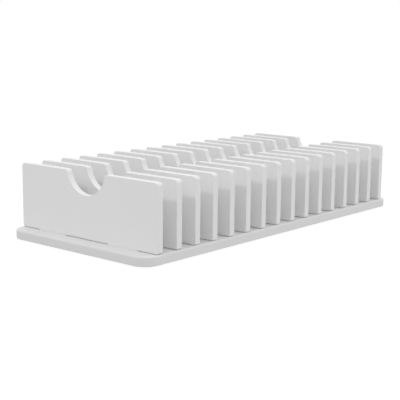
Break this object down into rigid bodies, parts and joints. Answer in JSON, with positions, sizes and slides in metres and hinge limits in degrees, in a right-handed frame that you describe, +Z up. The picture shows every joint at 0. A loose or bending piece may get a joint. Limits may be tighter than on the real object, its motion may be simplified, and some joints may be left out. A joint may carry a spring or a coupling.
{
  "type": "charging station organizer",
  "caption": "Desktop rack that stores laptops and tablets upright while they charge: a round-cornered board with a row of plug-in dividers, each with a round cable notch in its top edge.",
  "frame": {"origin": "on the surface that the rack stands on, under the middle of the board", "axes": "+X along the row of dividers, away from the end with divider_01; +Y across the rack, away from the long side nearest the camera; +Z up"},
  "size_m": [0.546, 0.243, 0.098],
  "materials": {
    "board": "white sheet, satin, softly rounded edge",
    "divider": "white sheet, satin",
    "grip_pad": "matte grey rubber"
  },
  "bodies": {
    "rack_base": {"base_board": "board", "foot_pad_front_left": "grip_pad", "foot_pad_front_middle": "grip_pad", "foot_pad_front_right": "grip_pad", "foot_pad_rear_left": "grip_pad", "foot_pad_rear_middle": "grip_pad", "foot_pad_rear_right": "grip_pad"},
    "divider_01": {"divider_01": "divider"},
    "divider_02": {"divider_02": "divider"},
    "divider_03": {"divider_03": "divider"},
    "divider_04": {"divider_04": "divider"},
    "divider_05": {"divider_05": "divider"},
    "divider_06": {"divider_06": "divider"},
    "divider_07": {"divider_07": "divider"},
    "divider_08": {"divider_08": "divider"},
    "divider_09": {"divider_09": "divider"},
    "divider_10": {"divider_10": "divider"},
    "divider_11": {"divider_11": "divider"},
    "divider_12": {"divider_12": "divider"},
    "divider_13": {"divider_13": "divider"},
    "divider_14": {"divider_14": "divider"},
    "divider_15": {"divider_15": "divider"},
    "divider_16": {"divider_16": "divider"}
  },
  "joints": [
    {"name": "divider_01_lift", "type": "slide", "parent": "rack_base", "child": "divider_01", "axis": [0, 0, 1], "range_m": [0, 0.1]},
    {"name": "divider_02_lift", "type": "slide", "parent": "rack_base", "child": "divider_02", "axis": [0, 0, 1], "range_m": [0, 0.1]},
    {"name": "divider_03_lift", "type": "slide", "parent": "rack_base", "child": "divider_03", "axis": [0, 0, 1], "range_m": [0, 0.1]},
    {"name": "divider_04_lift", "type": "slide", "parent": "rack_base", "child": "divider_04", "axis": [0, 0, 1], "range_m": [0, 0.1]},
    {"name": "divider_05_lift", "type": "slide", "parent": "rack_base", "child": "divider_05", "axis": [0, 0, 1], "range_m": [0, 0.1]},
    {"name": "divider_06_lift", "type": "slide", "parent": "rack_base", "child": "divider_06", "axis": [0, 0, 1], "range_m": [0, 0.1]},
    {"name": "divider_07_lift", "type": "slide", "parent": "rack_base", "child": "divider_07", "axis": [0, 0, 1], "range_m": [0, 0.1]},
    {"name": "divider_08_lift", "type": "slide", "parent": "rack_base", "child": "divider_08", "axis": [0, 0, 1], "range_m": [0, 0.1]},
    {"name": "divider_09_lift", "type": "slide", "parent": "rack_base", "child": "divider_09", "axis": [0, 0, 1], "range_m": [0, 0.1]},
    {"name": "divider_10_lift", "type": "slide", "parent": "rack_base", "child": "divider_10", "axis": [0, 0, 1], "range_m": [0, 0.1]},
    {"name": "divider_11_lift", "type": "slide", "parent": "rack_base", "child": "divider_11", "axis": [0, 0, 1], "range_m": [0, 0.1]},
    {"name": "divider_12_lift", "type": "slide", "parent": "rack_base", "child": "divider_12", "axis": [0, 0, 1], "range_m": [0, 0.1]},
    {"name": "divider_13_lift", "type": "slide", "parent": "rack_base", "child": "divider_13", "axis": [0, 0, 1], "range_m": [0, 0.1]},
    {"name": "divider_14_lift", "type": "slide", "parent": "rack_base", "child": "divider_14", "axis": [0, 0, 1], "range_m": [0, 0.1]},
    {"name": "divider_15_lift", "type": "slide", "parent": "rack_base", "child": "divider_15", "axis": [0, 0, 1], "range_m": [0, 0.1]},
    {"name": "divider_16_lift", "type": "slide", "parent": "rack_base", "child": "divider_16", "axis": [0, 0, 1], "range_m": [0, 0.1]}
  ]
}
